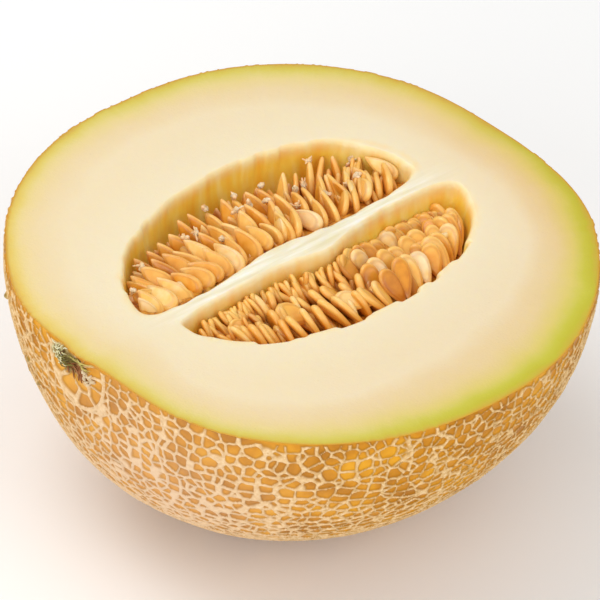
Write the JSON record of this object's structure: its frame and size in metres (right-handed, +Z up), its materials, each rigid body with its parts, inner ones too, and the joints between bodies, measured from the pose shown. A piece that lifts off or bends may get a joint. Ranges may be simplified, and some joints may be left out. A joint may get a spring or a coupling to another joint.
{
  "type": "melon half",
  "caption": "Half of a ripe netted melon, cut lengthwise, with pale flesh, a golden rind and a hollow heaped with seeds.",
  "frame": {"origin": "centre of the small flat spot on the rind that the half rests on, under the middle of the cut face", "axes": "+Z up, out of the level cut face; +X along the melon from its stem end to its blossom end; +Y towards the larger seed pocket"},
  "size_m": [0.1549, 0.1525, 0.0761],
  "materials": {
    "melon_rind": "waxy golden rind under a raised net of dry tan cork",
    "melon_flesh": "moist cut flesh, cream turning green under the rind",
    "seed_coat": "wet tan seed coat"
  },
  "bodies": {
    "root": {"melon": "melon_rind", "seeds_back": "seed_coat", "seeds_front": "seed_coat"}
  },
  "joints": []
}
